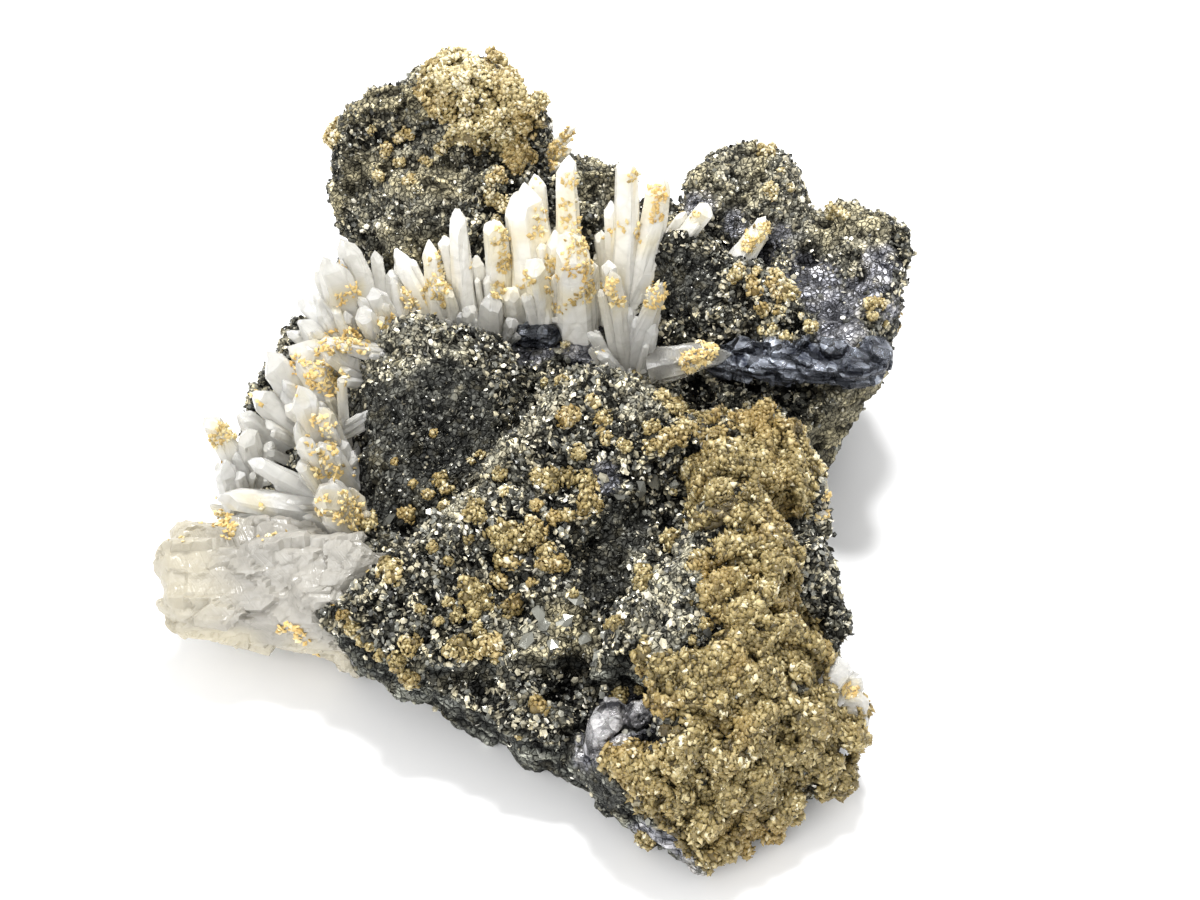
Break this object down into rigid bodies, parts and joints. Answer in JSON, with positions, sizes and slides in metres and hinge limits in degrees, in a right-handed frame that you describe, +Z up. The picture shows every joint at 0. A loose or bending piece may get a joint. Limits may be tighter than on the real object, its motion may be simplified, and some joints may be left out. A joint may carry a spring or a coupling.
{
  "type": "pyrite with quartz and sphalerite",
  "caption": "Craggy cabinet mineral specimen: dark pyrite and sphalerite matrix with sprays of white quartz points and crusts of tan carbonate crystals.",
  "frame": {"origin": "a flat spot on the resting face, near the middle of the underside", "axes": "+Z up from the resting face, -Y towards the tan crusted front corner, +X to the specimen's right"},
  "size_m": [0.1531, 0.1839, 0.0804],
  "materials": {
    "sulphide": "drusy, dark grey with brassy sparkle",
    "quartz": "milky white, clearer at the points",
    "sphalerite": "bluish grey, metallic lustre",
    "carbonate": "tan, vitreous to pearly"
  },
  "bodies": {
    "root": {"sulphide_base": "sulphide", "quartz_bank_left": "quartz", "quartz_bank_middle": "quartz", "quartz_bank_right": "quartz", "quartz_fork": "quartz", "quartz_flat_point": "quartz", "quartz_lone_point": "quartz", "quartz_trench_stub": "quartz", "quartz_upper_left": "quartz", "quartz_left_bank": "quartz", "quartz_left_cross": "quartz", "quartz_left_edge": "quartz", "quartz_milky_block": "quartz", "quartz_boulder_cluster": "quartz", "quartz_right_stub": "quartz", "quartz_corner_knob": "quartz", "sphalerite_pair": "sphalerite", "sphalerite_ledge": "sphalerite", "sphalerite_trench": "sphalerite", "carbonate_right_ridge": "carbonate", "carbonate_front": "carbonate", "carbonate_hump_near": "carbonate", "carbonate_right_hump": "carbonate", "carbonate_crest": "carbonate", "carbonate_ridge_upper": "carbonate", "carbonate_ridge_lower": "carbonate", "carbonate_shelf": "carbonate", "carbonate_shelf_edge": "carbonate", "carbonate_left_rim": "carbonate", "carbonate_dome": "carbonate", "carbonate_boulder": "carbonate", "carbonate_back_lump": "carbonate", "carbonate_rim": "carbonate"}
  },
  "joints": []
}
